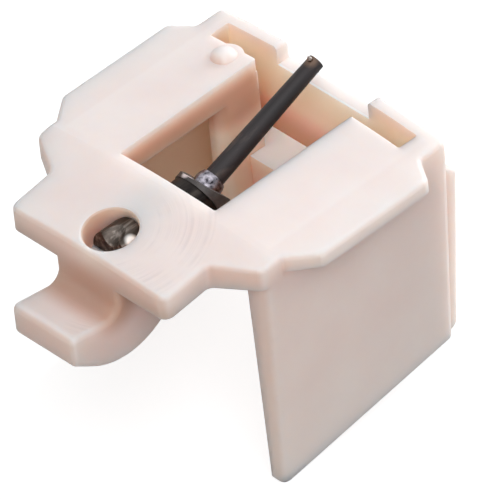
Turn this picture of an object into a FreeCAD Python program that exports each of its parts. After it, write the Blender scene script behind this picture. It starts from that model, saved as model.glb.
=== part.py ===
# Replacement stylus for a moving-magnet pickup, shown record side up, as it stands on its side walls.
# Millimetres. While the pieces are drawn, x runs across, y from the finger tab towards the nose, z up,
# and the zero point is the middle of the window's front edge on the plate's top. At the end everything
# moves together, so that the zero point is the middle of the bounding box's bottom.
import FreeCAD
import Part
import math
import os

V = FreeCAD.Vector

# Plate with its window
PLATE_THICK = 1.1
CROWN_RADIUS = 46.0
WINDOW_HALF_WIDTH = 2.2
SLOT_LENGTH = 0.82
FLANGE_HALF_WIDTH = 6.03
FLANGE_FRONT_Y = 1.05
FLANGE_BACK_Y = 5.75
FLANGE_END_Y = 6.25
PLATE_CORNER_RADIUS = 0.35
FLANGE_UNDERSIDE_Z = -0.93
WINDOW_CORNER_RADIUS = 0.08
TOP_EDGE_RADIUS = 0.2

# Tongue with its round hole
TONGUE_HALF_WIDTH = 3.6
TONGUE_REACH = 3.68
TONGUE_DROP_START_Y = -0.3
TONGUE_DROP_PER_MM = 0.147
TONGUE_UNDER_DROP_PER_MM = 0.115
NECK_Y = -1.78
HOLE_Y = -2.56
HOLE_RADIUS = 0.93
HOLE_EDGE_RADIUS = 0.1

# Side walls that straddle the pickup body
WALL_OUTER_TOP = 5.22
WALL_OUTER_BACK = 5.17
WALL_LEAN = 0.2
WALL_TOP_THICK = 0.87
WALL_TIP_THICK = 0.48
WALL_FRONT_Y = -0.83
WALL_TIP_Z = -9.6
FOOT_RISE_DEG = 8.65
WALL_FRONT_RADIUS = 0.4
WALL_EDGE_RADIUS = 0.25
WALL_TIP_RADIUS = 0.2
HEEL_RADIUS = 0.35
HEEL_STEPS = 5

# Nose wall with the notch that the cantilever passes over, and its raised pad
NOSE_OUTER_Y = 7.42
NOSE_THICK = 0.52
NOSE_LEAN = 0.39
NOTCH_HALF_WIDTH = 2.1
NOTCH_DEPTH = 0.76
NOTCH_RADIUS = 0.16
PAD_HALF_WIDTH = 4.8
PAD_START_Z = -1.58
PAD_CHAMFER = 0.6
PAD_PROUD_TOP = 0.67
PAD_PROUD_BOTTOM = 0.35
PAD_FOOT_RADIUS = 0.35
PAD_EDGE_RADIUS = 0.1

# Guide columns and cross shelf inside
COLUMN_FRONT_Y = 4.35
COLUMN_WIDTH = 0.9
COLUMN_BOTTOM_Z = -7.2
COLUMN_RADIUS = 0.4
SHELF_FRONT_Y = 5.4
SHELF_TOP_Z = -3.7

# Locating pip on one arm
PIP_X = -3.15
PIP_Y = 5.57
PIP_RADIUS = 0.46
PIP_HEIGHT = 0.3
PIP_SEAT_RADIUS = 0.66

# Boss for the tube, and the finger tab that hooks forwards from it
TAB_HALF_WIDTH = 1.43
TAB_MIDDLE_X = -0.13
TAB_REACH = 5.72
TAB_FLOOR_Z = -2.55
TAB_LIP_Z = -2.25
TAB_INNER_RADIUS = 0.42
TAB_LIP_RADIUS = 0.25
TAB_LIP_FOOT_Z = -3.4
TAB_BELLY_Y = -3.47
TAB_BELLY_Z = -4.88
TAB_BELLY_RADIUS = 2.7
BOSS_BOTTOM_Z = -2.75
BOSS_BACK_Y = 0.0
TAB_EDGE_RADIUS = 0.2

# Metal tube with its crimp
TUBE_AXIS_Z = -1.45
TUBE_RADIUS = 0.875
TUBE_WALL = 0.13
TUBE_CLOSED_Y = -2.6
TUBE_MOUTH_Y = 1.19
CRIMP_RADIUS = 0.46
CRIMP_START_Y = -1.98
CRIMP_DIP_DEG = 37.0

# Rubber disc, tapered cantilever and the bead at its root
CANTILEVER_RISE_DEG = 20.5
DAMPER_RADIUS = 0.95
DAMPER_THICK = 0.52
DAMPER_BEVEL_START = 0.477
DAMPER_BEVEL_RISE_DEG = 41.0
CANTILEVER_ROOT_RADIUS = 0.375
CANTILEVER_TIP_RADIUS = 0.28
CANTILEVER_REACH = 5.93
COLLAR_START = 0.3
COLLAR_BASE_RADIUS = 0.49
COLLAR_BELLY_RADIUS = 0.5
COLLAR_LENGTH = 0.5
COLLAR_WALL = 0.05

# Magnet, wire and anchor inside the tube
STUB_RADIUS = 0.2
STUB_LENGTH = 1.9
MAGNET_RADIUS = 0.45
MAGNET_LENGTH = 1.5
WIRE_RADIUS = 0.05
ANCHOR_LENGTH = 1.0

# Stylus tip
TIP_SETBACK = 0.16
SHANK_RADIUS = 0.085
SHANK_PROUD = 0.09
TIP_CONE_HEIGHT = 0.13
TIP_POINT_RADIUS = 0.018

# Lines that several pieces share
NOSE_INNER_Y = NOSE_OUTER_Y - NOSE_THICK
ARM_BACK_Y = NOSE_INNER_Y - SLOT_LENGTH
BAY_HALF_WIDTH = WALL_OUTER_TOP - WALL_TOP_THICK
ABOVE = 1.0
CLOSE = 0.01
FULL_TURN = 360
RISE = math.radians(CANTILEVER_RISE_DEG)
ALONG = V(0, math.cos(RISE), math.sin(RISE))
ACROSS = V(0, -math.sin(RISE), math.cos(RISE))
PIVOT = V(0, TUBE_MOUTH_Y, TUBE_AXIS_Z)
X_AXIS = V(1, 0, 0)
Y_AXIS = V(0, 1, 0)
Z_AXIS = V(0, 0, 1)


def on_rod(distance):
    """The point this far along the cantilever's axis from its pivot."""
    return PIVOT + ALONG * distance


def rounded_wire(corners):
    """Close a wire through (point, radius) corners, each rounded by an arc of its radius."""
    count = len(corners)
    edges = []
    ends = []
    for index in range(count):
        point, radius = corners[index]
        before = (corners[index - 1][0] - point).normalize()
        after = (corners[(index + 1) % count][0] - point).normalize()
        if radius == 0:
            ends.append((point, None, point))
            continue
        half = before.getAngle(after) / 2
        start = point + before * (radius / math.tan(half))
        end = point + after * (radius / math.tan(half))
        inwards = (before + after).normalize()
        middle = point + inwards * (radius / math.sin(half) - radius)
        ends.append((start, middle, end))
    for index in range(count):
        start, middle, end = ends[index]
        if middle is not None:
            edges.append(Part.Arc(start, middle, end).toShape())
        edges.append(Part.LineSegment(end, ends[(index + 1) % count][0]).toShape())
    return Part.Wire(edges)


def prism(corners, direction):
    """Extrude the rounded outline through corners along direction."""
    return Part.Face(rounded_wire(corners)).extrude(direction)


def mirrored(shape):
    """The same shape on the other side of the middle plane."""
    return shape.mirror(V(0, 0, 0), X_AXIS)


def both_sides(half):
    """Full list of (point, radius) corners from those of the right half, front to back."""
    left = []
    for point, radius in reversed(half):
        left.append((V(-point.x, point.y, point.z), radius))
    return half + left


def block(half_width, y_low, y_high, z_low, z_high):
    """A box across the middle plane."""
    corner = V(-half_width, y_low, z_low)
    return Part.makeBox(2 * half_width, y_high - y_low, z_high - z_low, corner)


def crown(slope):
    """Solid under a crowned surface whose crest is level with the plate where the tongue's drop starts."""
    direction = V(0, 1, slope).normalize()
    length = 6 * FLANGE_HALF_WIDTH
    square = V(0, -slope, 1).normalize()
    start = V(0, TONGUE_DROP_START_Y, 0) - square * CROWN_RADIUS - direction * (length / 2)
    return Part.makeCylinder(CROWN_RADIUS, length, start, direction)


def top_height(point, slope):
    """Height of the crowned surface with this slope above or below a point."""
    angle = math.atan(slope)
    arch = CROWN_RADIUS - math.sqrt(CROWN_RADIUS ** 2 - point.x ** 2)
    return (point.y - TONGUE_DROP_START_Y) * math.tan(angle) - arch / math.cos(angle)


def on_top(edge, slope):
    """Whether an edge is part of the outline of the crowned surface with this slope."""
    heights = [abs(point.z - top_height(point, slope)) for point in edge.discretize(3)]
    return max(heights) < CLOSE


def wall_x(y_place):
    """Outer face of the right side wall under the plate, which closes in a little towards the nose."""
    share = (y_place - WALL_FRONT_Y) / (NOSE_OUTER_Y - WALL_FRONT_Y)
    return WALL_OUTER_TOP + (WALL_OUTER_BACK - WALL_OUTER_TOP) * share


def plate_outline():
    """Outline of tongue, flanges and back corners, seen from above."""
    low = -2 * PLATE_THICK
    soft = PLATE_CORNER_RADIUS
    half = [
        (V(TONGUE_HALF_WIDTH, -TONGUE_REACH, low), soft),
        (V(TONGUE_HALF_WIDTH, NECK_Y, low), soft),
        (V(WALL_OUTER_TOP, WALL_FRONT_Y, low), WALL_FRONT_RADIUS),
        (V(wall_x(0), 0, low), soft / 2),
        (V(FLANGE_HALF_WIDTH, FLANGE_FRONT_Y, low), soft),
        (V(FLANGE_HALF_WIDTH, FLANGE_BACK_Y, low), soft),
        (V(wall_x(FLANGE_END_Y), FLANGE_END_Y, low), soft / 2),
        (V(WALL_OUTER_BACK, NOSE_OUTER_Y, low), WALL_EDGE_RADIUS),
    ]
    return both_sides(half)


def underside_cut():
    """Space below the plate's flat underside and the tongue's dropping one."""
    drop = TONGUE_UNDER_DROP_PER_MM * 2 * TONGUE_REACH
    wide = 2 * FLANGE_HALF_WIDTH
    corners = [
        (V(-wide, -2 * TONGUE_REACH, -PLATE_THICK - drop), 0),
        (V(-wide, 0, -PLATE_THICK), 0),
        (V(-wide, 2 * NOSE_OUTER_Y, -PLATE_THICK), 0),
        (V(-wide, 2 * NOSE_OUTER_Y, WALL_TIP_Z), 0),
        (V(-wide, -2 * TONGUE_REACH, WALL_TIP_Z), 0),
    ]
    return prism(corners, X_AXIS * (2 * wide))


def flange_relief():
    """Space under the two flanges, outside the side walls, where the plate is thinner."""
    inner = WALL_OUTER_BACK - WALL_EDGE_RADIUS
    wide = 2 * FLANGE_HALF_WIDTH
    corner = V(inner, 0, WALL_TIP_Z)
    right = Part.makeBox(wide, 2 * NOSE_OUTER_Y, FLANGE_UNDERSIDE_Z - WALL_TIP_Z, corner)
    return right.fuse(mirrored(right))


def plate():
    """Plate under its level crown and the tongue's dropping one, each with a softened edge."""
    slab = prism(plate_outline(), Z_AXIS * (2 * PLATE_THICK + 2 * ABOVE))
    slab = slab.cut(underside_cut()).cut(flange_relief())
    soft = []
    for slope in (0, TONGUE_DROP_PER_MM):
        body = slab.common(crown(slope))
        rim = [edge for edge in body.Edges if on_top(edge, slope)]
        soft.append(body.makeFillet(TOP_EDGE_RADIUS, rim))
    return soft[0].common(soft[1])


def window():
    """The T-shaped opening: the window between the arms and the slot behind them."""
    low = 2 * WALL_TIP_Z
    soft = WINDOW_CORNER_RADIUS
    half = [
        (V(WINDOW_HALF_WIDTH, 0, low), soft),
        (V(WINDOW_HALF_WIDTH, ARM_BACK_Y, low), soft),
        (V(BAY_HALF_WIDTH, ARM_BACK_Y, low), soft),
        (V(BAY_HALF_WIDTH, NOSE_INNER_Y, low), soft),
    ]
    return prism(both_sides(half), Z_AXIS * (ABOVE - low))


def foot_z(y_place):
    """Height of the rising foot line at one place along y."""
    return WALL_TIP_Z + (y_place - WALL_FRONT_Y) * math.tan(math.radians(FOOT_RISE_DEG))


def nose_y(z_place):
    """Outer face of the nose wall at one height; it leans in below the plate."""
    share = (-PLATE_THICK - z_place) / (-PLATE_THICK - WALL_TIP_Z)
    return NOSE_OUTER_Y - NOSE_LEAN * share


def heel():
    """Height and place along y where the nose wall's outer face meets the foot line."""
    place = NOSE_OUTER_Y
    for _ in range(HEEL_STEPS):
        place = nose_y(foot_z(place))
    return place, foot_z(place)


def wall_section(z_place, lean, thick, back_y):
    """Plan of the right side wall at one height: its inner face runs along y, its outer edges are rounded."""
    front_outer = WALL_OUTER_TOP - lean
    back_outer = WALL_OUTER_BACK - lean
    inner = front_outer - thick
    corners = [
        (V(front_outer, WALL_FRONT_Y, z_place), WALL_FRONT_RADIUS),
        (V(back_outer, back_y, z_place), WALL_EDGE_RADIUS),
        (V(inner, back_y, z_place), 0),
        (V(inner, WALL_FRONT_Y, z_place), 0),
    ]
    return rounded_wire(corners)


def side_wall():
    """Right side wall: upright beside the plate, tapered below it, cut to the rising foot line."""
    under = wall_section(-PLATE_THICK, 0, WALL_TOP_THICK, NOSE_OUTER_Y)
    tip = wall_section(WALL_TIP_Z, WALL_LEAN, WALL_TIP_THICK, nose_y(WALL_TIP_Z))
    beside = Part.Face(under).extrude(Z_AXIS * (PLATE_THICK / 2))
    below = Part.makeLoft([under, tip], True, True)
    heel_y, heel_z = heel()
    corners = [
        (V(0, WALL_FRONT_Y, -PLATE_THICK), 0),
        (V(0, WALL_FRONT_Y, WALL_TIP_Z), WALL_TIP_RADIUS),
        (V(0, heel_y, heel_z), HEEL_RADIUS),
        (V(0, NOSE_OUTER_Y, -PLATE_THICK), 0),
    ]
    return below.common(prism(corners, X_AXIS * NOSE_OUTER_Y)).fuse(beside)


def nose_wall():
    """Upright wall at the nose, its outer face leaning in as it goes down to the foot line."""
    half_width = (BAY_HALF_WIDTH + WALL_OUTER_BACK) / 2
    heel_y, heel_z = heel()
    corners = [
        (V(-half_width, NOSE_OUTER_Y, -PLATE_THICK / 2), 0),
        (V(-half_width, NOSE_OUTER_Y, -PLATE_THICK), 0),
        (V(-half_width, heel_y, heel_z), 0),
        (V(-half_width, NOSE_INNER_Y, foot_z(NOSE_INNER_Y)), 0),
        (V(-half_width, NOSE_INNER_Y, -PLATE_THICK / 2), 0),
    ]
    return prism(corners, X_AXIS * (2 * half_width))


def nose_pad():
    """Raised pad on the nose wall's outer face, chamfered at its top and thinner at its foot."""
    chamfer_z = PAD_START_Z - PAD_CHAMFER
    foot_y = heel()[0] + PAD_PROUD_BOTTOM
    side = -PAD_HALF_WIDTH
    corners = [
        (V(side, NOSE_INNER_Y, PAD_START_Z), 0),
        (V(side, nose_y(PAD_START_Z), PAD_START_Z), 0),
        (V(side, nose_y(chamfer_z) + PAD_PROUD_TOP, chamfer_z), PAD_FOOT_RADIUS / 2),
        (V(side, foot_y, foot_z(foot_y)), PAD_FOOT_RADIUS),
        (V(side, NOSE_INNER_Y, foot_z(NOSE_INNER_Y)), 0),
    ]
    pad = prism(corners, X_AXIS * (2 * PAD_HALF_WIDTH))
    sides = []
    for edge in pad.Edges:
        box = edge.BoundBox
        if box.XLength < CLOSE and box.YMin > NOSE_INNER_Y + CLOSE and box.ZMax < PAD_START_Z + CLOSE:
            sides.append(edge)
    return pad.makeFillet(PAD_EDGE_RADIUS, sides)


def notch():
    """Shallow cut-out across the top of the nose wall, its upper corners rounded over."""
    top = top_height(V(NOTCH_HALF_WIDTH, 0, 0), 0)
    start = NOSE_INNER_Y - NOSE_THICK
    wide = NOTCH_HALF_WIDTH + 2 * NOTCH_RADIUS
    corners = [
        (V(wide, start, ABOVE), 0),
        (V(wide, start, top), 0),
        (V(NOTCH_HALF_WIDTH, start, top), NOTCH_RADIUS),
        (V(NOTCH_HALF_WIDTH, start, -NOTCH_DEPTH), 0),
    ]
    return prism(both_sides(corners), Y_AXIS * (3 * NOSE_THICK))


def guide_column():
    """Right guide column under the back end of the arm, its front rounded."""
    inner = WINDOW_HALF_WIDTH
    outer = WINDOW_HALF_WIDTH + COLUMN_WIDTH
    corners = [
        (V(inner, COLUMN_FRONT_Y, COLUMN_BOTTOM_Z), COLUMN_RADIUS),
        (V(outer, COLUMN_FRONT_Y, COLUMN_BOTTOM_Z), COLUMN_RADIUS),
        (V(outer, ARM_BACK_Y, COLUMN_BOTTOM_Z), 0),
        (V(inner, ARM_BACK_Y, COLUMN_BOTTOM_Z), 0),
    ]
    return prism(corners, Z_AXIS * (-PLATE_THICK / 2 - COLUMN_BOTTOM_Z))


def cross_shelf():
    """Block between the columns and the nose wall, well below the window."""
    half_width = WINDOW_HALF_WIDTH + COLUMN_WIDTH
    back_y = NOSE_INNER_Y + NOSE_THICK / 4
    return block(half_width, SHELF_FRONT_Y, back_y, COLUMN_BOTTOM_Z, SHELF_TOP_Z)


def locating_pip():
    """Low dome on one arm, with the round seat that it stands on."""
    ball_radius = (PIP_RADIUS ** 2 + PIP_HEIGHT ** 2) / (2 * PIP_HEIGHT)
    top = -PIP_X ** 2 / (2 * CROWN_RADIUS) + PIP_HEIGHT
    ball = Part.makeSphere(ball_radius, V(PIP_X, PIP_Y, top - ball_radius))
    disc = Part.makeCylinder(PIP_RADIUS, PLATE_THICK / 2, V(PIP_X, PIP_Y, top - PLATE_THICK / 2))
    low = V(PIP_X, PIP_Y, -PLATE_THICK)
    seat = Part.makeCylinder(PIP_SEAT_RADIUS, PLATE_THICK + ABOVE, low).common(crown(0))
    return ball.common(disc).fuse(seat)


def tab_profile():
    """Side view of boss and tab: down from the tongue, forwards to the lip, back under the boss."""
    side = TAB_MIDDLE_X - TAB_HALF_WIDTH
    inside_z = -PLATE_THICK / 2 - TONGUE_UNDER_DROP_PER_MM * TONGUE_REACH
    return [
        (V(side, -TONGUE_REACH, inside_z), 0),
        (V(side, -TONGUE_REACH, TAB_FLOOR_Z), TAB_INNER_RADIUS),
        (V(side, -TAB_REACH, TAB_LIP_Z), TAB_LIP_RADIUS),
        (V(side, -TAB_REACH, TAB_LIP_FOOT_Z), TAB_LIP_RADIUS),
        (V(side, TAB_BELLY_Y, TAB_BELLY_Z), TAB_BELLY_RADIUS),
        (V(side, BOSS_BACK_Y, BOSS_BOTTOM_Z), TAB_LIP_RADIUS),
        (V(side, BOSS_BACK_Y, -PLATE_THICK / 2), 0),
    ]


def finger_tab():
    """Boss under the tongue that holds the tube, and the tab that hooks forwards from it."""
    tab = prism(tab_profile(), X_AXIS * (2 * TAB_HALF_WIDTH))
    inside_z = -PLATE_THICK / 2 - TONGUE_UNDER_DROP_PER_MM * TONGUE_REACH
    sides = []
    for edge in tab.Edges:
        box = edge.BoundBox
        if box.XLength < CLOSE and box.ZMin < inside_z - CLOSE:
            sides.append(edge)
    return tab.makeFillet(TAB_EDGE_RADIUS, sides)


def holder():
    """The whole moulding."""
    right = side_wall().fuse(guide_column())
    pieces = [right, mirrored(right), nose_pad(), cross_shelf(), locating_pip()]
    pieces.append(nose_wall())
    body = plate().cut(window()).fuse(pieces)
    body = body.cut(notch())
    body = body.fuse(finger_tab())
    body = body.cut(round_hole()).cut(tube_space())
    return body.removeSplitter()


def round_hole():
    """Round hole square to the tongue, down to the tube's axis, its mouth eased in two steps."""
    mouth_z = TONGUE_DROP_PER_MM * (HOLE_Y - TONGUE_DROP_START_Y)
    depth = mouth_z - TUBE_AXIS_Z
    soft = HOLE_EDGE_RADIUS
    outer = HOLE_RADIUS + soft
    round_over = soft * (1 - math.sqrt(0.5))
    start = V(HOLE_RADIUS, 0, -soft)
    middle = V(HOLE_RADIUS + round_over, 0, -round_over)
    end = V(outer, 0, 0)
    edges = [
        Part.LineSegment(V(0, 0, -depth), V(HOLE_RADIUS, 0, -depth)).toShape(),
        Part.LineSegment(V(HOLE_RADIUS, 0, -depth), start).toShape(),
        Part.LineSegment(start, middle).toShape(),
        Part.LineSegment(middle, end).toShape(),
        Part.LineSegment(end, V(outer, 0, ABOVE)).toShape(),
        Part.LineSegment(V(outer, 0, ABOVE), V(0, 0, ABOVE)).toShape(),
        Part.LineSegment(V(0, 0, ABOVE), V(0, 0, -depth)).toShape(),
    ]
    tool = Part.Face(Part.Wire(edges)).revolve(V(0, 0, 0), Z_AXIS, FULL_TURN)
    tool.rotate(V(0, 0, 0), X_AXIS, math.degrees(math.atan(TONGUE_DROP_PER_MM)))
    tool.translate(V(0, HOLE_Y, mouth_z))
    return tool


def tube_space():
    """The bore that the tube is pushed into, closed at the finger tab's end."""
    length = BOSS_BACK_Y + DAMPER_RADIUS - TUBE_CLOSED_Y
    return Part.makeCylinder(TUBE_RADIUS, length, V(0, TUBE_CLOSED_Y, TUBE_AXIS_Z), Y_AXIS)


def mouth_cut():
    """Space in front of the tube's slanting mouth."""
    size = 4 * TUBE_RADIUS
    return Part.makeCylinder(size, size, on_rod(0), ALONG)


def groove(radius):
    """Round bar of this radius along the crimp, lying on its lowest line and sloping down forwards."""
    dip = math.radians(CRIMP_DIP_DEG)
    along = V(0, -math.cos(dip), -math.sin(dip))
    out = V(0, -math.sin(dip), math.cos(dip))
    start = V(0, CRIMP_START_Y, TUBE_AXIS_Z + TUBE_RADIUS) + out * CRIMP_RADIUS
    length = 2 * (TUBE_RADIUS + CRIMP_START_Y - TUBE_CLOSED_Y)
    return Part.makeCylinder(radius, 2 * length, start - along * length, along)


def crimp():
    """Sloping groove pressed into the tube's closed end through the hole."""
    return groove(CRIMP_RADIUS)


def crimp_bulge():
    """The same groove on the inside, one wall thickness lower."""
    return groove(CRIMP_RADIUS + TUBE_WALL)


def support_tube():
    """Thin metal tube with a closed end, a slanting mouth and a crimp."""
    length = TUBE_MOUTH_Y + DAMPER_RADIUS - TUBE_CLOSED_Y
    outside = Part.makeCylinder(TUBE_RADIUS, length, V(0, TUBE_CLOSED_Y, TUBE_AXIS_Z), Y_AXIS)
    bore_start = V(0, TUBE_CLOSED_Y + TUBE_WALL, TUBE_AXIS_Z)
    inside = Part.makeCylinder(TUBE_RADIUS - TUBE_WALL, length, bore_start, Y_AXIS)
    inside = inside.cut(crimp_bulge())
    return outside.cut(inside).cut(crimp()).cut(mouth_cut())


def wire_anchor():
    """Plug in the closed end, held by the crimp."""
    start = V(0, TUBE_CLOSED_Y + TUBE_WALL, TUBE_AXIS_Z)
    plug = Part.makeCylinder(TUBE_RADIUS - TUBE_WALL, ANCHOR_LENGTH, start, Y_AXIS)
    return plug.cut(crimp_bulge())


def wire_ends():
    """Where the tie wire leaves the anchor, and where it meets the magnet."""
    back = TUBE_CLOSED_Y + TUBE_WALL + ANCHOR_LENGTH
    front = TUBE_MOUTH_Y - STUB_LENGTH
    return back, front


def tie_wire():
    """Fine wire from the anchor to the cantilever's inner end."""
    back, front = wire_ends()
    return Part.makeCylinder(WIRE_RADIUS, front - back, V(0, back, TUBE_AXIS_Z), Y_AXIS)


def stub():
    """The cantilever's inner end, bent to lie along the tube."""
    inside = PIVOT + Y_AXIS * STUB_RADIUS
    return Part.makeCylinder(STUB_RADIUS, STUB_LENGTH + STUB_RADIUS, inside, -Y_AXIS)


def cantilever():
    """Tapered rod with a straight thinner inner end that lies along the support tube."""
    rod = Part.makeCone(CANTILEVER_ROOT_RADIUS, CANTILEVER_TIP_RADIUS, CANTILEVER_REACH, PIVOT, ALONG)
    seat = Part.makeCylinder(SHANK_RADIUS, 4 * CANTILEVER_TIP_RADIUS, tip_foot(), ACROSS)
    return rod.fuse(stub()).cut(seat).removeSplitter()


def tip_foot():
    """Lower end of the tip's shank, just below the cantilever."""
    return on_rod(CANTILEVER_REACH - TIP_SETBACK) - ACROSS * (CANTILEVER_TIP_RADIUS + SHANK_PROUD)


def tip_shank():
    """Small metal pin through the cantilever's end that carries the diamond."""
    length = 2 * (CANTILEVER_TIP_RADIUS + SHANK_PROUD)
    return Part.makeCylinder(SHANK_RADIUS, length, tip_foot(), ACROSS)


def stylus_tip():
    """Diamond cone whose rounded point carries on the cone's slope."""
    lean = math.atan((SHANK_RADIUS - TIP_POINT_RADIUS) / TIP_CONE_HEIGHT)
    touch = V(TIP_POINT_RADIUS * math.cos(lean), 0, TIP_CONE_HEIGHT + TIP_POINT_RADIUS * math.sin(lean))
    half = (math.pi / 2 + lean) / 2
    middle = V(TIP_POINT_RADIUS * math.cos(half), 0, TIP_CONE_HEIGHT + TIP_POINT_RADIUS * math.sin(half))
    apex = V(0, 0, TIP_CONE_HEIGHT + TIP_POINT_RADIUS)
    edges = [
        Part.LineSegment(V(0, 0, 0), V(SHANK_RADIUS, 0, 0)).toShape(),
        Part.LineSegment(V(SHANK_RADIUS, 0, 0), touch).toShape(),
        Part.Arc(touch, middle, apex).toShape(),
        Part.LineSegment(apex, V(0, 0, 0)).toShape(),
    ]
    tip = Part.Face(Part.Wire(edges)).revolve(V(0, 0, 0), Z_AXIS, FULL_TURN)
    tip.rotate(V(0, 0, 0), X_AXIS, CANTILEVER_RISE_DEG)
    tip.translate(tip_foot() + ACROSS * (2 * (CANTILEVER_TIP_RADIUS + SHANK_PROUD)))
    return tip


def magnet():
    """Rod magnet pressed over the cantilever's inner end."""
    start = V(0, TUBE_MOUTH_Y - STUB_LENGTH, TUBE_AXIS_Z)
    body = Part.makeCylinder(MAGNET_RADIUS, MAGNET_LENGTH, start, Y_AXIS)
    return body.cut(stub())


def damper_ring():
    """Rubber ring between the tube's mouth and the root bead, its front bevelled on the record side."""
    disc = Part.makeCylinder(DAMPER_RADIUS, DAMPER_THICK, PIVOT, ALONG)
    rise = math.radians(DAMPER_BEVEL_RISE_DEG)
    facing = V(0, math.cos(rise), math.sin(rise))
    size = 4 * DAMPER_RADIUS
    bevel = Part.makeCylinder(size, size, on_rod(DAMPER_BEVEL_START), facing)
    return disc.cut(bevel).cut(cantilever()).cut(root_collar())


def root_collar():
    """Rounded metal bead round the cantilever, seated in the rubber ring's front."""
    end_radius = CANTILEVER_ROOT_RADIUS + COLLAR_WALL
    start = V(COLLAR_BASE_RADIUS, 0, 0)
    middle = V(COLLAR_BELLY_RADIUS, 0, COLLAR_LENGTH / 2)
    end = V(end_radius, 0, COLLAR_LENGTH)
    edges = [
        Part.LineSegment(V(0, 0, 0), start).toShape(),
        Part.Arc(start, middle, end).toShape(),
        Part.LineSegment(end, V(0, 0, COLLAR_LENGTH)).toShape(),
        Part.LineSegment(V(0, 0, COLLAR_LENGTH), V(0, 0, 0)).toShape(),
    ]
    bead = Part.Face(Part.Wire(edges)).revolve(V(0, 0, 0), Z_AXIS, FULL_TURN)
    bead.rotate(V(0, 0, 0), X_AXIS, CANTILEVER_RISE_DEG - FULL_TURN / 4)
    bead.translate(on_rod(COLLAR_START))
    return bead.cut(cantilever())


def main():
    nodes = {
        "stylus_holder": holder(),
        "support_tube": support_tube(),
        "damper_ring": damper_ring(),
        "root_collar": root_collar(),
        "cantilever": cantilever(),
        "tip_shank": tip_shank(),
        "stylus_tip": stylus_tip(),
        "magnet": magnet(),
        "tie_wire": tie_wire(),
        "wire_anchor": wire_anchor(),
    }
    boxes = [shape.optimalBoundingBox(False) for shape in nodes.values()]
    low = min(box.ZMin for box in boxes)
    front = min(box.YMin for box in boxes)
    back = max(box.YMax for box in boxes)
    shift = V(0, -(front + back) / 2, -low)
    os.makedirs("parts", exist_ok=True)
    for name, shape in nodes.items():
        shape.translate(shift)
        shape.exportStep("parts/" + name + ".step")
        print(name, len(shape.Solids), "solid", shape.isValid(), round(shape.Volume, 4), "mm3")
    print("shift", shift)


main()
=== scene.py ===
import math

import bpy
from mathutils import Matrix, Vector


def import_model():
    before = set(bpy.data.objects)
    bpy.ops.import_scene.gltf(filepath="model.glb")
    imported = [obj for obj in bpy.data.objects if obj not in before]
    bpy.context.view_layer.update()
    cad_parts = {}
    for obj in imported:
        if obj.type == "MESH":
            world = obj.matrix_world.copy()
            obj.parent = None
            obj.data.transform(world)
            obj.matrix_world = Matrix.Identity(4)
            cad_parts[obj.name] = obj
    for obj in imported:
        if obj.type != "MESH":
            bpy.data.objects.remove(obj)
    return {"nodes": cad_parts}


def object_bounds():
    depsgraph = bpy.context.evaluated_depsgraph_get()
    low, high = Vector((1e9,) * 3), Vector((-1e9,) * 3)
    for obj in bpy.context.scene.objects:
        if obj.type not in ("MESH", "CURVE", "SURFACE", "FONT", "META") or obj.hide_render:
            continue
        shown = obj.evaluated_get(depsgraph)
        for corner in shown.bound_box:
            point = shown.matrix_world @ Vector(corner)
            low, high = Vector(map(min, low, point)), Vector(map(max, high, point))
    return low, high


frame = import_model()
cad_low, cad_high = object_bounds()

MM = 0.001
OPAQUE = 1.0

# Middle of the window's front edge on the plate's top. Marks and camera are set out from it.
WINDOW_EDGE = Vector((0.0, -1.1564, 9.5673)) * MM

# Screen curve, between values of 0 to 255 and linear ones
SCREEN_WHITE = 255
SCREEN_KNEE = 0.04045
SCREEN_SLOPE = 12.92
SCREEN_OFFSET = 0.055
SCREEN_POWER = 2.4

# Range that holds most of a noise texture's values. Tones and roughness run over it.
NOISE_LOW = 0.3
NOISE_HIGH = 0.7

# Share of a texture's scale on the axes X, Y and Z. A small share draws its features out.
EVEN = (1.0, 1.0, 1.0)
LENGTHWISE = (1.0, 0.15, 1.0)

# Colour sockets of a Mix node, by number because their names repeat
MIX_FACTOR = 0
MIX_FIRST = 6
MIX_SECOND = 7
MIX_RESULT = 2


def srgb(red, green, blue):
    """Linear colour, with alpha, from 0 to 255 screen values."""
    linear = []
    for value in (red, green, blue):
        share = value / SCREEN_WHITE
        low = share / SCREEN_SLOPE
        high = ((share + SCREEN_OFFSET) / (1 + SCREEN_OFFSET)) ** SCREEN_POWER
        linear.append(low if share <= SCREEN_KNEE else high)
    return (*linear, OPAQUE)


def new_material(name):
    """New node material, its node tree and its shader."""
    material = bpy.data.materials.new(name)
    material.use_nodes = True
    tree = material.node_tree
    return material, tree, tree.nodes["Principled BSDF"]


def own_point(tree):
    """Point on the piece, in the part's own frame."""
    return tree.nodes.new("ShaderNodeTexCoord").outputs["Object"]


def axes(tree, vector):
    """X, Y and Z of a vector."""
    node = tree.nodes.new("ShaderNodeSeparateXYZ")
    tree.links.new(vector, node.inputs["Vector"])
    return node.outputs["X"], node.outputs["Y"], node.outputs["Z"]


def joined(tree, **values):
    """Vector from the values given for X, Y or Z, with 0 for the others."""
    node = tree.nodes.new("ShaderNodeCombineXYZ")
    for axis, value in values.items():
        tree.links.new(value, node.inputs[axis])
    return node.outputs["Vector"]


def distance(tree, point, centre):
    """How far a point is from a fixed one."""
    node = tree.nodes.new("ShaderNodeVectorMath")
    node.operation = "DISTANCE"
    tree.links.new(point, node.inputs[0])
    node.inputs[1].default_value = centre
    return node.outputs["Value"]


def noise_at(tree, point, scale, detail):
    """Noise at a point; scale counts features per metre."""
    node = tree.nodes.new("ShaderNodeTexNoise")
    node.inputs["Scale"].default_value = scale
    node.inputs["Detail"].default_value = detail
    tree.links.new(point, node.inputs["Vector"])
    return node.outputs["Fac"]


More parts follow.
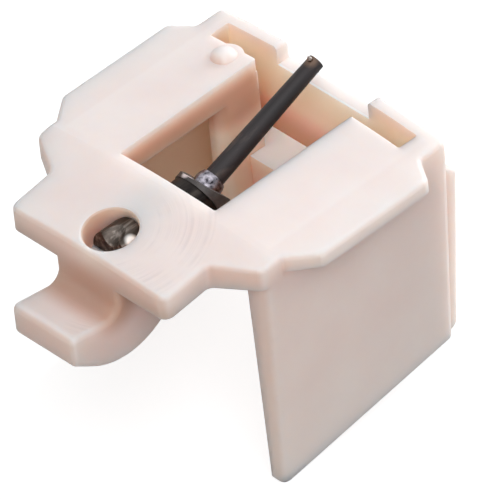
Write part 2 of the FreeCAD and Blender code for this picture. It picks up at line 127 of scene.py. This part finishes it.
def noise(tree, scale, detail, stretch=EVEN, turn=0.0):
    """Noise over the piece, with a share of its scale on each axis; turn only picks another pattern."""
    node = tree.nodes.new("ShaderNodeMapping")
    node.inputs["Scale"].default_value = stretch
    node.inputs["Rotation"].default_value = (0.0, 0.0, turn)
    tree.links.new(own_point(tree), node.inputs["Vector"])
    return noise_at(tree, node.outputs["Vector"], scale, detail)


def mapped(tree, value, start, end, low, high):
    """Node that turns start to end into low to high, and stays there outside."""
    node = tree.nodes.new("ShaderNodeMapRange")
    node.inputs["From Min"].default_value = start
    node.inputs["From Max"].default_value = end
    node.inputs["To Min"].default_value = low
    node.inputs["To Max"].default_value = high
    tree.links.new(value, node.inputs["Value"])
    return node


def spread(tree, texture, low, high):
    """Value that runs from low to high with a noise texture."""
    return mapped(tree, texture, NOISE_LOW, NOISE_HIGH, low, high).outputs["Result"]


def step(tree, value, start, end):
    """1 where value is past end, 0 before start, smooth between; start may be the larger one."""
    if start < end:
        node = mapped(tree, value, start, end, 0.0, 1.0)
    else:
        node = mapped(tree, value, end, start, 1.0, 0.0)
    node.interpolation_type = "SMOOTHSTEP"
    return node.outputs["Result"]


def maths(tree, operation, *values):
    """One maths node of one value or two."""
    node = tree.nodes.new("ShaderNodeMath")
    node.operation = operation
    for value, socket in zip(values, node.inputs):
        tree.links.new(value, socket)
    return node.outputs["Value"]


def product(tree, *factors):
    """All factors multiplied together."""
    total = factors[0]
    for factor in factors[1:]:
        total = maths(tree, "MULTIPLY", total, factor)
    return total


def spot(tree, centre, core, reach):
    """1 within core of a fixed point, 0 beyond reach."""
    return step(tree, distance(tree, own_point(tree), centre), reach, core)


def ramp(tree, texture, stops):
    """Colour over a texture through (position, linear colour) stops."""
    node = tree.nodes.new("ShaderNodeValToRGB")
    first, last = node.color_ramp.elements
    first.position, first.color = stops[0]
    last.position, last.color = stops[-1]
    for position, colour in stops[1:-1]:
        element = node.color_ramp.elements.new(position)
        element.color = colour
    tree.links.new(texture, node.inputs["Fac"])
    return node.outputs["Color"]


def tones(tree, texture, stops):
    """Colour over a texture through (position, screen colour) stops."""
    return ramp(tree, texture, [(position, srgb(*colour)) for position, colour in stops])


def tone(tree, texture, darker, lighter):
    """Colour that wanders between two screen colours."""
    return tones(tree, texture, ((NOISE_LOW, darker), (NOISE_HIGH, lighter)))


def blended(tree, factor, first, second):
    """Colour that goes from first to second with factor."""
    node = tree.nodes.new("ShaderNodeMix")
    node.data_type = "RGBA"
    tree.links.new(factor, node.inputs[MIX_FACTOR])
    tree.links.new(first, node.inputs[MIX_FIRST])
    tree.links.new(second, node.inputs[MIX_SECOND])
    return node.outputs[MIX_RESULT]


def coat(tree, shader, colour, texture, roughness):
    """Give the shader a colour, and a roughness that follows a texture."""
    tree.links.new(colour, shader.inputs["Base Color"])
    tree.links.new(spread(tree, texture, *roughness), shader.inputs["Roughness"])


def steady(shader, values):
    """Give the shader values that are the same all over, by socket name."""
    for name, value in values.items():
        shader.inputs[name].default_value = value


def bump(tree, shader, texture, depth, strength):
    """Bend the shader's normal by a texture of this depth in metres."""
    node = tree.nodes.new("ShaderNodeBump")
    node.inputs["Distance"].default_value = depth
    node.inputs["Strength"].default_value = strength
    tree.links.new(texture, node.inputs["Height"])
    tree.links.new(node.outputs["Normal"], shader.inputs["Normal"])


# Settings of the materials below: of a texture, its features per metre and detail; of tones, the darker and
# the lighter; of roughness, the least and the greatest; of relief, its depth and strength. Steady values
# stand under the names of the shader's sockets.
METAL_STEADY = {"Metallic": 1.0}

# Holder's plastic
PLASTIC_CLOUD = (420.0, 3.0)
PLASTIC_GRAIN = (9000.0, 2.0)
PLASTIC_ROUGHNESS = (0.44, 0.52)
PLASTIC_RELIEF = (0.004 * MM, 0.25)
PLASTIC_STEADY = {
    "Specular IOR Level": 0.36,
    "Subsurface Weight": 1.0,
    "Subsurface Radius": (1.0, 0.8, 0.68),
    "Subsurface Scale": 1.6 * MM,
}
PLASTIC_TONES = ((238, 222, 219), (242, 228, 225))
# Regions with tones of their own, each laid over those before it. Rubbed marks faint rubbed arcs; all the
# others are painted light and shade. Aside is all that doesn't look up, front what looks towards the finger
# tab, foot the low part of the nose wall, deep the bay without that wall.
RUB_AND_PAINTED_SHADING_TONES = {
    "rubbed": ((229, 213, 211), (233, 219, 217)),
    # Painted warm shade on every face that doesn't look up
    "aside": ((240, 215, 208), (244, 221, 214)),
    # Painted warm shade on faces towards the finger tab
    "front": ((226, 198, 187), (230, 204, 193)),
    # Painted dark warm shade in the nook at the foot of the tongue's front
    "nook": ((198, 160, 140), (203, 166, 147)),
    # Painted warm shade on the hole's wall
    "hole": ((228, 195, 178), (232, 200, 184)),
    # Painted light: the shelf's top painted near white
    "shelf": ((253, 250, 249), (255, 254, 253)),
    # Painted warm glow of light through the thin walls, on the bay's upright faces
    "inside": ((255, 222, 204), (255, 226, 209)),
    # Painted darker warm shade on the low part of the nose wall
    "foot": ((204, 150, 110), (208, 155, 116)),
    # Painted warm glow on the bay's upright faces without the nose wall
    "deep": ((255, 213, 190), (255, 217, 195)),
    # Painted darker shade on the arms' faces beside the window
    "arm": ((210, 164, 139), (214, 169, 145)),
}

# Upward part of a face's normal, where the face starts to count as one of these and where it fully does
SLOPING = (0.8, 0.5)
LEVEL = (0.5, 0.8)
FLAT_TOP = (0.9, 0.97)
ASIDE = (0.95, 0.35)
# The same with the part towards the nose, for a face that looks towards the finger tab
FRONT = (-0.4, -0.9)

# Bay between the side walls, from the window's front edge to the nose wall, where light and shade are
# painted into the plastic's tones
BAY_SIDE = 4.6 * MM
BAY_FRONT = WINDOW_EDGE.y - 0.15 * MM
BAY_BACK = WINDOW_EDGE.y + 6.93 * MM
BAY_BLUR = 0.2 * MM
BAY_BACK_BLUR = 0.1 * MM
BAY_TOP = WINDOW_EDGE.z - 0.05 * MM
BAY_FULL = BAY_TOP - 0.8 * MM
# Heights of the nose wall's foot, painted in darker warm shade, and place of the arms' edges beside the
# window, painted in darker shade
FOOT_START = BAY_TOP - 2.0 * MM
FOOT_FULL = BAY_TOP - 3.4 * MM
ARM_REACH = 3.2 * MM
ARM_END = BAY_TOP - 2.4 * MM
ARM_FULL = BAY_TOP - 1.6 * MM

# Line along the foot of the tongue's front, where the finger tab starts, round which dark warm shade is
# painted
NOOK = (0.0, WINDOW_EDGE.y - 3.7 * MM, WINDOW_EDGE.z - 2.1 * MM)
NOOK_CORE = 0.3 * MM
NOOK_REACH = 1.3 * MM

# Axis of the round hole in the tongue, and how near to it the hole's wall is, which is painted in warm
# shade
HOLE = (0.0, WINDOW_EDGE.y - 2.56 * MM, 0.0)
HOLE_CORE = 0.95 * MM
HOLE_REACH = 1.05 * MM

# Faint broken arcs round the hole, between these radii and to the right of these places
RUB_NEAR = 1.1 * MM
RUB_NEAR_FULL = 1.5 * MM
RUB_FAR_FULL = 3.0 * MM
RUB_FAR = 3.8 * MM
RUB_LEFT = 0.2 * MM
RUB_RIGHT = 0.9 * MM
RUB_LINES = (7000.0, 2.0)
RUB_LINE_STEP = (0.4, 0.65)
RUB_BREAKS = (900.0, 3.0)
RUB_BREAK_STEP = (0.36, 0.66)


def rubbed_region(tree, off_axis, across, looks_up):
    """Faint broken arcs round the hole's axis, on the flat top to its right."""
    lines = noise_at(tree, joined(tree, X=off_axis), *RUB_LINES)
    return product(
        tree,
        step(tree, lines, *RUB_LINE_STEP),
        step(tree, off_axis, RUB_NEAR, RUB_NEAR_FULL),
        step(tree, off_axis, RUB_FAR, RUB_FAR_FULL),
        step(tree, across, RUB_LEFT, RUB_RIGHT),
        step(tree, looks_up, *FLAT_TOP),
        step(tree, noise(tree, *RUB_BREAKS), *RUB_BREAK_STEP),
    )


def bay_painted_shading(tree, across, along, height, looks_up):
    """Places of painted light in the bay: the shelf's top painted lighter, upright faces painted warm shade
    and glow.
    """
    out = maths(tree, "ABSOLUTE", across)
    bay = product(
        tree,
        step(tree, out, BAY_SIDE + BAY_BLUR, BAY_SIDE),
        step(tree, along, BAY_FRONT, BAY_FRONT + BAY_BLUR),
        step(tree, along, BAY_BACK + BAY_BACK_BLUR, BAY_BACK),
        step(tree, height, BAY_TOP, BAY_FULL),
    )
    inside = product(tree, bay, step(tree, looks_up, *SLOPING))
    on_nose = step(tree, along, BAY_BACK - BAY_BLUR, BAY_BACK)
    low = step(tree, height, FOOT_START, FOOT_FULL)
    deep = product(tree, inside, step(tree, along, BAY_BACK, BAY_BACK - BAY_BLUR))
    beside_window = step(tree, out, ARM_REACH + BAY_BLUR, ARM_REACH)
    high = step(tree, height, ARM_END, ARM_FULL)
    # Shelf marks painted light; inside, foot, deep and arm mark painted shade and glow
    return {
        "shelf": product(tree, bay, step(tree, looks_up, *LEVEL)),
        "inside": inside,
        "foot": product(tree, inside, on_nose, low),
        "deep": deep,
        "arm": product(tree, deep, beside_window, high),
    }


def holder_rub_and_painted_shading(tree):
    """How far each region covers a point, by name: the rubbed arcs, and the places of painted light and
    shade.
    """
    across, along, height = axes(tree, own_point(tree))
    geometry = tree.nodes.new("ShaderNodeNewGeometry")
    looks_to_nose, looks_up = axes(tree, geometry.outputs["Normal"])[1:]
    from_nook = distance(tree, joined(tree, Y=along, Z=height), NOOK)
    off_axis = distance(tree, joined(tree, X=across, Y=along), HOLE)
    near_axis = step(tree, off_axis, HOLE_REACH, HOLE_CORE)
    # Rubbed marks faint wear; aside, front, nook and hole mark painted shade
    regions = {
        "rubbed": rubbed_region(tree, off_axis, across, looks_up),
        "aside": step(tree, looks_up, *ASIDE),
        "front": step(tree, looks_to_nose, *FRONT),
        "nook": step(tree, from_nook, NOOK_REACH, NOOK_CORE),
        "hole": product(tree, near_axis, step(tree, looks_up, *SLOPING)),
    }
    regions.update(bay_painted_shading(tree, across, along, height, looks_up))
    return regions


def holder_plastic():
    """Pinkish cream moulded plastic, translucent, with a faint grain and rubbed arcs, and painted light and
    shade, warm inside.
    """
    material, tree, shader = new_material("holder_plastic")
    cloud = noise(tree, *PLASTIC_CLOUD)
    grain = noise(tree, *PLASTIC_GRAIN)
    regions = holder_rub_and_painted_shading(tree)
    colour = tone(tree, cloud, *PLASTIC_TONES)
    # Lay the rubbed arcs and the painted light and shade over the plain tone
    for name, pair in RUB_AND_PAINTED_SHADING_TONES.items():
        colour = blended(tree, regions[name], colour, tone(tree, cloud, *pair))
    coat(tree, shader, colour, grain, PLASTIC_ROUGHNESS)
    steady(shader, PLASTIC_STEADY)
    bump(tree, shader, grain, *PLASTIC_RELIEF)
    return material


# Support tube. Its streaks run along it.
TUBE_STREAKS = (5200.0, 3.0)
TUBE_STRETCH = (1.0, 0.16, 1.0)
TUBE_TURN = math.radians(-38)
TUBE_TONES = ((0.3, (56, 51, 48)), (0.5, (85, 78, 73)), (0.7, (150, 142, 136)))
TUBE_ROUGHNESS = (0.4, 0.56)
TUBE_RELIEF = (0.012 * MM, 0.5)
# Darker from its mouth towards the rubber, except along its left side
MOUTH_DARK_TONES = ((34, 31, 31), (62, 57, 54))
MOUTH_DARK_START = WINDOW_EDGE.y - 0.3 * MM
MOUTH_DARK_FULL = WINDOW_EDGE.y + 0.3 * MM
MOUTH_DARK_LEFT = -0.7 * MM
MOUTH_DARK_RIGHT = -0.3 * MM
# Painted highlight, a near-white patch, beside the crimp
PAINTED_HIGHLIGHT_TONES = ((250, 248, 246), (255, 255, 255))
PAINTED_HIGHLIGHT = WINDOW_EDGE + Vector((0.55, -2.2, -0.8)) * MM
PAINTED_HIGHLIGHT_CORE = 0.12 * MM
PAINTED_HIGHLIGHT_REACH = 0.3 * MM


def tube_metal():
    """Dull streaky nickel, darker towards the rubber, with one painted highlight beside the crimp."""
    material, tree, shader = new_material("tube_metal")
    streak = noise(tree, *TUBE_STREAKS, TUBE_STRETCH, TUBE_TURN)
    across, along = axes(tree, own_point(tree))[:2]
    # Darker towards the rubber, except along the left side
    mouth_dark = product(
        tree,
        step(tree, along, MOUTH_DARK_START, MOUTH_DARK_FULL),
        step(tree, across, MOUTH_DARK_LEFT, MOUTH_DARK_RIGHT),
    )
    colour = blended(tree, mouth_dark, tones(tree, streak, TUBE_TONES), tone(tree, streak, *MOUTH_DARK_TONES))
    # Painted highlight beside the crimp
    painted_highlight = spot(tree, PAINTED_HIGHLIGHT, PAINTED_HIGHLIGHT_CORE, PAINTED_HIGHLIGHT_REACH)
    colour = blended(tree, painted_highlight, colour, tone(tree, streak, *PAINTED_HIGHLIGHT_TONES))
    coat(tree, shader, colour, streak, TUBE_ROUGHNESS)
    steady(shader, METAL_STEADY)
    bump(tree, shader, streak, *TUBE_RELIEF)
    return material


# Damper ring, with a painted highlight, a pale spot, on its upper rim
RUBBER_GRAIN = (6000.0, 4.0)
RUBBER_TONES = ((42, 38, 38), (66, 60, 58))
RUBBER_ROUGHNESS = (0.42, 0.58)
RUBBER_RELIEF = (0.008 * MM, 0.4)
PAINTED_GLINT_TONES = ((206, 196, 198), (226, 218, 218))
PAINTED_GLINT = WINDOW_EDGE + Vector((-0.23, 1.07, -0.64)) * MM
PAINTED_GLINT_CORE = 0.13 * MM
PAINTED_GLINT_REACH = 0.24 * MM


def damper_rubber():
    """Soft black rubber with one painted highlight, a pale spot on its upper rim."""
    material, tree, shader = new_material("damper_rubber")
    grain = noise(tree, *RUBBER_GRAIN)
    # Painted highlight on the upper rim
    painted_glint = spot(tree, PAINTED_GLINT, PAINTED_GLINT_CORE, PAINTED_GLINT_REACH)
    colour = blended(tree, painted_glint, tone(tree, grain, *RUBBER_TONES), tone(tree, grain, *PAINTED_GLINT_TONES))
    coat(tree, shader, colour, grain, RUBBER_ROUGHNESS)
    bump(tree, shader, grain, *RUBBER_RELIEF)
    return material


# Cantilever, with a worn patch round the pin at its end
ROD_STREAKS = (2500.0, 4.0)
ROD_STRETCH = (1.0, 0.2, 0.5)
ROD_TONES = ((0.3, (27, 24, 26)), (0.6, (40, 35, 37)), (0.75, (78, 68, 64)))
ROD_ROUGHNESS = (0.46, 0.62)
ROD_RELIEF = (0.004 * MM, 0.3)
ROD_STEADY = {"Metallic": 0.2, "Specular IOR Level": 0.4}
WORN_TONES = ((88, 68, 56), (116, 94, 80))
WORN = WINDOW_EDGE + Vector((0.0, 6.5, 0.85)) * MM
WORN_CORE = 0.1 * MM
WORN_REACH = 0.34 * MM


def cantilever_metal():
    """Near-black satin metal, brown where its end is worn."""
    material, tree, shader = new_material("cantilever_metal")
    streak = noise(tree, *ROD_STREAKS, ROD_STRETCH)
    worn = spot(tree, WORN, WORN_CORE, WORN_REACH)
    colour = blended(tree, worn, tones(tree, streak, ROD_TONES), tone(tree, streak, *WORN_TONES))
    coat(tree, shader, colour, streak, ROD_ROUGHNESS)
    steady(shader, ROD_STEADY)
    bump(tree, shader, streak, *ROD_RELIEF)
    return material


# Root collar
COLLAR_DENTS = (2600.0, 1.0)
COLLAR_GRIME = (7000.0, 3.0)
COLLAR_TONES = ((44, 42, 48), (170, 166, 176))
COLLAR_ROUGHNESS = (0.28, 0.4)
COLLAR_RELIEF = (0.09 * MM, 0.8)


def collar_metal():
    """Bright metal with grime on it, squeezed into small dents."""
    material, tree, shader = new_material("collar_metal")
    grime = noise(tree, *COLLAR_GRIME)
    coat(tree, shader, tone(tree, grime, *COLLAR_TONES), grime, COLLAR_ROUGHNESS)
    steady(shader, METAL_STEADY)
    bump(tree, shader, noise(tree, *COLLAR_DENTS), *COLLAR_RELIEF)
    return material


# Plain metals, by node: material's name, tones, roughness and share of scale on each axis
METAL_STREAKS = (3000.0, 4.0)
METAL_RELIEF = (0.003 * MM, 0.3)
PLAIN_METALS = {
    "tip_shank": ("shank_metal", ((92, 74, 62), (126, 104, 90)), (0.4, 0.55), EVEN),
    "magnet": ("magnet_metal", ((150, 150, 150), (196, 196, 196)), (0.2, 0.35), EVEN),
    "tie_wire": ("wire_metal", ((170, 165, 150), (210, 206, 190)), (0.2, 0.3), LENGTHWISE),
    "wire_anchor": ("anchor_brass", ((176, 144, 84), (214, 184, 120)), (0.25, 0.4), EVEN),
}


def plain_metal(name, pair, roughness, stretch):
    """Metal with fine streaks or specks."""
    material, tree, shader = new_material(name)
    streak = noise(tree, *METAL_STREAKS, stretch)
    coat(tree, shader, tone(tree, streak, *pair), streak, roughness)
    steady(shader, METAL_STEADY)
    bump(tree, shader, streak, *METAL_RELIEF)
    return material


# Diamond
STONE_SHADE = (9000.0, 1.0)
STONE_TONES = ((112, 88, 72), (142, 116, 98))
STONE_ROUGHNESS = (0.1, 0.2)
STONE_STEADY = {"Transmission Weight": 0.3, "IOR": 2.4}


def diamond():
    """Brownish polished stone that lets some light through."""
    material, tree, shader = new_material("diamond")
    shade = noise(tree, *STONE_SHADE)
    coat(tree, shader, tone(tree, shade, *STONE_TONES), shade, STONE_ROUGHNESS)
    steady(shader, STONE_STEADY)
    return material


def finish_nodes():
    """Give every CAD node its finish."""
    finishes = {
        "stylus_holder": holder_plastic(),
        "support_tube": tube_metal(),
        "damper_ring": damper_rubber(),
        "root_collar": collar_metal(),
        "cantilever": cantilever_metal(),
        "stylus_tip": diamond(),
    }
    for name, settings in PLAIN_METALS.items():
        finishes[name] = plain_metal(*settings)
    for name, material in finishes.items():
        for slot in frame["nodes"][name].material_slots:
            slot.material = material


# Floor, a little under the part
FLOOR_HALF = 0.6
FLOOR_CORNERS = 48
FLOOR_DROP = 0.02 * MM
FLOOR_GLOW = 0.8
FLOOR_GRAIN = (60.0, 2.0)
FLOOR_DARKER = (0.3564, 0.3564, 0.3564, OPAQUE)
FLOOR_LIGHTER = (0.36, 0.36, 0.36, OPAQUE)

# World
WORLD_LIGHT = (0.2, 0.2, 0.2, OPAQUE)
BACKDROP_WHITE = (1.0, 1.0, 1.0, OPAQUE)


def seen_directly(tree):
    """1 for rays that show the background: camera, mirror-like and transmitted ones."""
    path = tree.nodes.new("ShaderNodeLightPath")
    total = path.outputs["Is Camera Ray"]
    for name in ("Is Glossy Ray", "Is Transmission Ray"):
        total = maths(tree, "MAXIMUM", total, path.outputs[name])
    return total


def floor_material():
    """Pale floor that looks white and keeps a soft shadow."""
    material = bpy.data.materials.new("floor_paper")
    material.use_nodes = True
    tree = material.node_tree
    tree.nodes.clear()
    output = tree.nodes.new("ShaderNodeOutputMaterial")
    paper = tree.nodes.new("ShaderNodeBsdfDiffuse")
    stops = ((NOISE_LOW, FLOOR_DARKER), (NOISE_HIGH, FLOOR_LIGHTER))
    shade = ramp(tree, noise(tree, *FLOOR_GRAIN), stops)
    tree.links.new(shade, paper.inputs["Color"])
    glow = tree.nodes.new("ShaderNodeEmission")
    lift = tree.nodes.new("ShaderNodeMath")
    lift.operation = "MULTIPLY"
    lift.inputs[1].default_value = FLOOR_GLOW
    tree.links.new(seen_directly(tree), lift.inputs[0])
    tree.links.new(lift.outputs["Value"], glow.inputs["Strength"])
    both = tree.nodes.new("ShaderNodeAddShader")
    tree.links.new(paper.outputs["BSDF"], both.inputs[0])
    tree.links.new(glow.outputs["Emission"], both.inputs[1])
    tree.links.new(both.outputs["Shader"], output.inputs["Surface"])
    return material


def floor():
    """Plain round floor under the part."""
    ring = []
    for index in range(FLOOR_CORNERS):
        angle = math.tau * index / FLOOR_CORNERS
        ring.append((FLOOR_HALF * math.cos(angle), FLOOR_HALF * math.sin(angle), -FLOOR_DROP))
    mesh = bpy.data.meshes.new("floor")
    mesh.from_pydata(ring, [], [list(range(FLOOR_CORNERS))])
    mesh.materials.append(floor_material())
    item = bpy.data.objects.new("floor", mesh)
    bpy.context.collection.objects.link(item)


def world():
    """Even grey light, with white where the background shows."""
    sky = bpy.data.worlds.new("studio")
    bpy.context.scene.world = sky
    sky.use_nodes = True
    tree = sky.node_tree
    tree.nodes.clear()
    output = tree.nodes.new("ShaderNodeOutputWorld")
    light = tree.nodes.new("ShaderNodeBackground")
    light.inputs["Color"].default_value = WORLD_LIGHT
    white = tree.nodes.new("ShaderNodeBackground")
    white.inputs["Color"].default_value = BACKDROP_WHITE
    choose = tree.nodes.new("ShaderNodeMixShader")
    tree.links.new(seen_directly(tree), choose.inputs["Fac"])
    tree.links.new(light.outputs["Background"], choose.inputs[1])
    tree.links.new(white.outputs["Background"], choose.inputs[2])
    tree.links.new(choose.outputs["Shader"], output.inputs["Surface"])


# Lamps: name, place, width and power in watts
LAMPS = (
    ("key_front_right", (0.24, -0.21, 0.38), 0.3, 1.35),
    ("top_soft", (0.02, 0.02, 0.5), 0.3, 0.3),
    ("back_low", (0.06, 0.46, 0.18), 0.3, 2.3),
    ("fill_front", (-0.02, -0.45, 0.25), 0.4, 0.28),
)


def lamps():
    """Soft square lamps, each aimed at the part."""
    aim = (cad_low + cad_high) / 2
    for name, place, width, power in LAMPS:
        data = bpy.data.lights.new(name, "AREA")
        data.size = width
        data.energy = power
        item = bpy.data.objects.new(name, data)
        item.location = place
        item.rotation_mode = "QUATERNION"
        item.rotation_quaternion = (aim - Vector(place)).to_track_quat("-Z", "Y")
        bpy.context.collection.objects.link(item)


# Camera. Lens and sensor are in millimetres. The aim is set out from the window's edge, in the picture.
CAMERA_AZIMUTH = math.radians(50.39)
CAMERA_ELEVATION = math.radians(40.18)
CAMERA_ROLL = math.radians(-6.62)
CAMERA_DISTANCE = 454.5 * MM
CAMERA_LENS = 1027.4
CAMERA_SENSOR = 36.0
AIM_RIGHT = 2.403 * MM
AIM_UP = -2.207 * MM


def camera():
    """Camera at the photograph's angle, aimed a little right of and below the window's front edge."""
    right = Vector((math.cos(CAMERA_AZIMUTH), math.sin(CAMERA_AZIMUTH), 0.0))
    back = Vector((
        math.sin(CAMERA_AZIMUTH) * math.cos(CAMERA_ELEVATION),
        -math.cos(CAMERA_AZIMUTH) * math.cos(CAMERA_ELEVATION),
        math.sin(CAMERA_ELEVATION),
    ))
    up = back.cross(right)
    across = right * math.cos(CAMERA_ROLL) + up * math.sin(CAMERA_ROLL)
    upright = up * math.cos(CAMERA_ROLL) - right * math.sin(CAMERA_ROLL)
    aim = across * AIM_RIGHT + upright * AIM_UP
    towards = (back * CAMERA_DISTANCE - aim).normalized()
    side = upright.cross(towards).normalized()
    top = towards.cross(side)
    turn = Matrix((side, top, towards)).transposed().to_4x4()
    data = bpy.data.cameras.new("camera")
    data.lens = CAMERA_LENS
    data.sensor_width = CAMERA_SENSOR
    item = bpy.data.objects.new("camera", data)
    item.matrix_world = Matrix.Translation(WINDOW_EDGE + back * CAMERA_DISTANCE) @ turn
    bpy.context.collection.objects.link(item)
    bpy.context.scene.camera = item


bpy.context.scene.view_settings.view_transform = "Standard"
finish_nodes()
floor()
world()
lamps()
camera()
